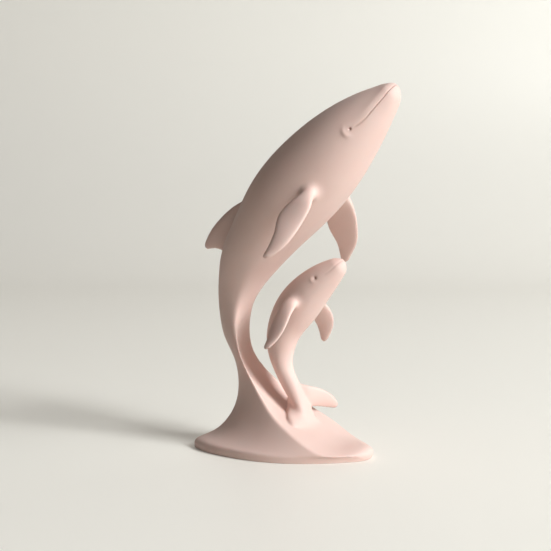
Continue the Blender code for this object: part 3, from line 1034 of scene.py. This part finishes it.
MOTHER = WhaleBody(
    stations=(
        (73.3, 212.1, 0.175, 0.18),
        (69.1, 207.4, 0.292, 0.30),
        (59.8, 199.2, 0.505, 0.515),
        (43.2, 184.8, 0.782, 0.80),
        (23.5, 166.1, 0.96, 0.97),
        (2.8, 145.6, 0.935, 0.99),
        (-12.8, 126.6, 0.78, 0.82),
        (-25.2, 108.3, 0.66, 0.61),
        (-31.1, 91.0, 0.50, 0.45),
        (-33.5, 77.0, 0.385, 0.40),
        (-31.0, 65.0, 0.34, 0.41),
    ),
    depth=51.0,
    width=49.0,
    plane=0.0,
    snout=6.0,
)
CALF = WhaleBody(
    stations=(
        (39.0, 114.5, 0.31, 0.32),
        (35.4, 111.0, 0.465, 0.47),
        (27.2, 104.4, 0.72, 0.74),
        (17.6, 95.9, 0.915, 0.95),
        (7.5, 84.4, 0.985, 1.00),
        (-0.1, 71.7, 0.82, 0.84),
        (-2.5, 60.0, 0.655, 0.65),
        (-0.8, 49.0, 0.46, 0.49),
        (3.9, 39.5, 0.41, 0.42),
        (8.3, 32.5, 0.37, 0.46),
        (12.6, 26.0, 0.30, 0.56),
        (17.0, 17.8, 0.18, 0.66),
        (21.5, 12.6, 0.14, 0.70),
        (26.0, 9.4, 0.12, 0.62),
        (30.5, 6.8, 0.10, 0.50),
    ),
    depth=25.5,
    width=24.5,
    plane=5.0,
    snout=5.0,
)
NEAR_FLIPPER_LEADING = (
    (32.8, 15.0, 156.0), (34.9, 22.0, 152.3), (36.9, 31.0, 145.8), (35.0, 36.0, 138.0),
    (31.9, 41.5, 129.8), (27.4, 45.5, 123.2), (18.8, 48.5, 116.9),
)
NEAR_FLIPPER_TRAILING = (
    (26.5, 15.0, 154.9), (25.4, 22.0, 151.3), (20.6, 31.0, 145.2), (18.4, 36.0, 139.4),
    (19.6, 41.5, 132.3), (18.6, 45.5, 125.0), (15.8, 48.5, 117.9),
)
FAR_FLIPPER_LEADING = (
    (34.5, 15.0, 156.0), (35.0, 24.5, 146.9), (34.7, 31.0, 139.0), (32.9, 37.0, 131.0),
    (29.4, 43.0, 122.6), (24.2, 47.0, 116.0), (19.8, 50.0, 110.4),
)
FAR_FLIPPER_TRAILING = (
    (23.0, 15.0, 155.0), (17.6, 24.5, 146.9), (14.3, 31.0, 138.0), (14.6, 36.0, 130.0),
    (16.3, 42.0, 122.1), (16.1, 46.0, 116.0), (15.8, 49.5, 110.6),
)
CALF_FLIPPER_LEADING = (
    (14.5, 7.0, 93.0), (16.5, 17.0, 88.5), (17.6, 25.0, 83.5), (17.3, 31.0, 76.5), (13.5, 34.5, 69.5),
    (9.0, 36.5, 65.0),
)
CALF_FLIPPER_TRAILING = (
    (8.0, 6.0, 91.0), (5.5, 14.5, 86.5), (5.0, 21.5, 81.0), (5.6, 27.5, 75.5), (6.2, 32.0, 69.5),
    (5.5, 35.0, 65.0),
)
FLIPPER_THICKNESS = 5.6
CALF_FLIPPER_THICKNESS = 4.4
FLUKE_THICKNESS = 4.6
FLIPPER_SHOULDER = 3.5
CALF_SHOULDER = 3.0
BLADES = (
    Blade(
        leading=(
            (-18.0, 0.0, 151.0), (-31.0, 0.0, 146.5), (-43.5, 0.0, 137.0), (-50.5, 0.0, 128.5),
            (-54.0, 0.0, 121.5),
        ),
        trailing=(
            (-28.0, 0.0, 112.0), (-39.0, 0.0, 117.5), (-46.5, 0.0, 119.5), (-50.5, 0.0, 119.0),
            (-53.0, 0.0, 119.0),
        ),
        thickness=6.0,
    ),
    Blade(NEAR_FLIPPER_LEADING, NEAR_FLIPPER_TRAILING, FLIPPER_THICKNESS, shoulder=FLIPPER_SHOULDER),
    Blade(
        FAR_FLIPPER_LEADING,
        FAR_FLIPPER_TRAILING,
        FLIPPER_THICKNESS,
        side=Side.FAR,
        shoulder=FLIPPER_SHOULDER,
    ),
    Blade(
        CALF_FLIPPER_LEADING,
        CALF_FLIPPER_TRAILING,
        CALF_FLIPPER_THICKNESS,
        CALF.plane,
        shoulder=CALF_SHOULDER,
    ),
    Blade(
        CALF_FLIPPER_LEADING,
        CALF_FLIPPER_TRAILING,
        CALF_FLIPPER_THICKNESS,
        CALF.plane,
        side=Side.FAR,
        shift=(0.5, 0.5, -4.5),
        shoulder=CALF_SHOULDER,
    ),
    Blade(
        leading=(
            (2.0, 0.0, 38.0), (3.0, 1.5, 30.5), (5.0, 5.0, 25.8), (6.8, 9.0, 23.6), (9.4, 13.3, 22.4),
            (12.6, 18.2, 20.4),
        ),
        trailing=(
            (16.0, 0.0, 16.0), (18.0, 1.5, 15.5), (19.5, 5.0, 14.8), (20.0, 9.0, 14.6), (19.3, 13.3, 15.0),
            (17.3, 18.0, 16.4),
        ),
        thickness=FLUKE_THICKNESS,
        plane=CALF.plane,
        shoulder=7.0,
        taper=0.25,
    ),
    Blade(
        leading=(
            (6.0, 0.0, 41.0), (13.1, 4.0, 39.0), (16.8, 10.0, 37.0), (19.7, 16.0, 34.2), (22.0, 21.0, 30.5),
            (23.5, 25.5, 25.5),
        ),
        trailing=(
            (10.0, 0.0, 24.0), (12.5, 4.0, 25.0), (14.5, 10.0, 25.0), (17.0, 16.0, 24.0), (19.7, 21.0, 22.8),
            (22.3, 25.5, 22.0),
        ),
        thickness=FLUKE_THICKNESS,
        plane=CALF.plane,
        side=Side.FAR,
    ),
)
WAVE = Wave(
    ridges=(
        ((-28.6, 0.0, 138.6), (-3.0, -15.5, 119.2), (-3.0, 15.5, 119.2)),
        ((-40.3, 0.0, 115.9), (-16.0, -11.7, 103.5), (-16.0, 11.7, 103.5)),
        ((-44.0, 0.0, 94.2), (-22.9, -9.1, 90.4), (-22.6, 9.0, 90.4)),
        ((-42.7, 0.0, 77.0), (-25.3, -9.5, 77.0), (-26.0, 9.6, 77.0)),
        ((-39.1, 0.0, 65.0), (-23.2, -10.5, 65.0), (-25.7, 10.0, 64.0)),
        ((-32.5, -0.5, 54.0), (-19.0, -11.5, 54.5), (-21.4, 10.5, 53.7)),
        ((-29.0, -1.5, 41.0), (-12.0, -13.0, 44.0), (-12.7, 12.5, 43.7)),
        ((-28.5, -4.0, 30.0), (-3.0, -16.0, 33.5), (-1.0, 18.0, 32.0)),
        ((-31.2, -8.0, 20.0), (9.0, -20.0, 22.5), (12.0, 23.0, 22.4)),
        ((-38.0, -12.0, 11.5), (27.0, -22.0, 11.2), (25.0, 25.5, 14.4)),
        ((-46.5, -16.0, 6.8), (45.0, -13.5, 3.9), (42.0, 22.5, 6.3)),
        ((-50.5, -19.0, 3.4), (53.3, -3.0, 3.0), (53.3, 16.0, 3.1)),
        ((-50.0, -19.5, 0.0), (52.4, -1.8, 0.0), (52.4, 15.2, 0.0)),
    ),
    channel=(8.0, 6.0, 3.8, 0.0, -4.0, -6.0, -6.2, -4.7, -2.0, 1.0, 3.0, 3.0, 2.4),
    far_flank=(11.5, 7.5, 4.5, 3.0, 3.0, 3.0, 3.5, 5.5, 10.0, 17.0, 26.0, 29.0, 28.5),
    near_flank=(11.5, 7.5, 4.5, 3.0, 2.5, 2.0, 2.0, 2.5, 3.5, 7.5, 16.0, 20.5, 20.0),
)
FAIRINGS = (
    Fairing(start=(19.0, 3.0, 17.0), end=(30.0, 5.0, 11.0), reach=13.0, passes=220),
    Fairing(start=(21.5, -1.0, 13.5), end=(22.5, -14.0, 14.0), reach=6.5, passes=120),
    Fairing(start=(34.0, -22.0, 152.0), end=(31.5, -18.0, 155.0), reach=13.0, passes=200),
    Fairing(start=(15.0, -7.0, 91.0), end=(13.0, -5.0, 94.0), reach=8.0, passes=100),
    Fairing(start=(10.0, 0.0, 25.0), end=(14.0, -4.0, 20.5), reach=5.5, passes=80),
)
MOTHER_FACE = Face(
    body=MOTHER,
    mouth=((0.0, 90.0), (6.0, 81.0), (12.0, 76.0), (18.0, 72.0), (24.0, 70.0), (29.5, 73.0)),
    groove=(0.35, 0.3, 0.6),
    lip=(0.45, 2.5, 2.7),
    eye=(31.5, 76.0),
    dimple=(0.7, 0.75),
    fold=(0.5, 1.5, 3.8),
    mouth_shade=0.7,
)
CALF_FACE = Face(
    body=CALF,
    mouth=((0.0, 88.0), (3.0, 88.0), (6.0, 86.0), (9.5, 84.0), (12.0, 86.0)),
    groove=(0.1, 0.4, 0.6),
    lip=(0.08, 0.8, 1.4),
    eye=(17.1, 98.0),
    dimple=(0.8, 0.9),
    fold=(0.25, 0.9, 2.6),
    mouth_shade=0.35,
)


def main() -> None:
    """Build the casting and the studio."""
    logging.basicConfig(level=logging.INFO, format="%(name)s: %(message)s")
    Studio().build()
    Casting(Leap(MOTHER, WAVE), CALF, BLADES, FAIRINGS, (MOTHER_FACE, CALF_FACE), CastResin()).build()


if __name__ == "__main__":
    main()
